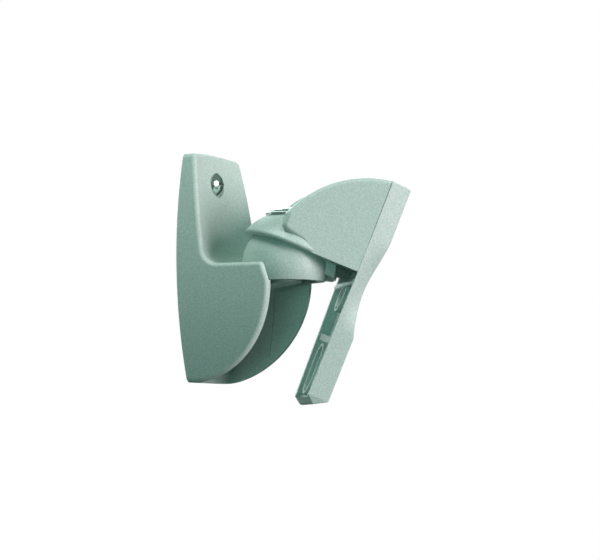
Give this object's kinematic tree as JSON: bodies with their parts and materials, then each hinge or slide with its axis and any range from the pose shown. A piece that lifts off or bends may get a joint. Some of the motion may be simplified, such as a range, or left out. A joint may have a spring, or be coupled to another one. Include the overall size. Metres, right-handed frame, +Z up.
{
  "type": "speaker wall bracket",
  "caption": "Wall bracket for a small loudspeaker: a shield-shaped base with a cheeked pod, a clamped ball and a hooded arm with a slotted speaker plate that swivels and tilts.",
  "frame": {"origin": "on the back of the wall base, half way up and in the middle of its width", "axes": "+Y into the wall, -Y out into the room, +Z up, +X to the right when facing the wall"},
  "size_m": [0.072, 0.1017, 0.1109],
  "materials": {
    "moulding": "satin silver-grey with a fine speckle",
    "bright_metal": "polished",
    "insert": "plain",
    "ring": "natural nylon"
  },
  "bodies": {
    "base": {"wall_base": "moulding", "clamp_bolt": "bright_metal", "clamp_washer": "bright_metal", "thread_insert": "insert", "friction_ring": "ring", "upper_wall_screw": "bright_metal", "lower_wall_screw": "bright_metal"},
    "swivel": {"swivel_ball": "moulding"},
    "arm": {"speaker_arm": "moulding"}
  },
  "joints": [
    {"name": "swivel_turn", "type": "hinge", "parent": "base", "child": "swivel", "pos_m": [0, -0.0399, 0.0009], "axis": [0, 0, 1], "range_deg": [-81, 3]},
    {"name": "arm_tilt", "type": "hinge", "parent": "swivel", "child": "arm", "pos_m": [0, -0.0399, 0.0009], "axis": [0.7771, 0.6293, 0], "range_deg": [-27.5, 4.5]}
  ]
}
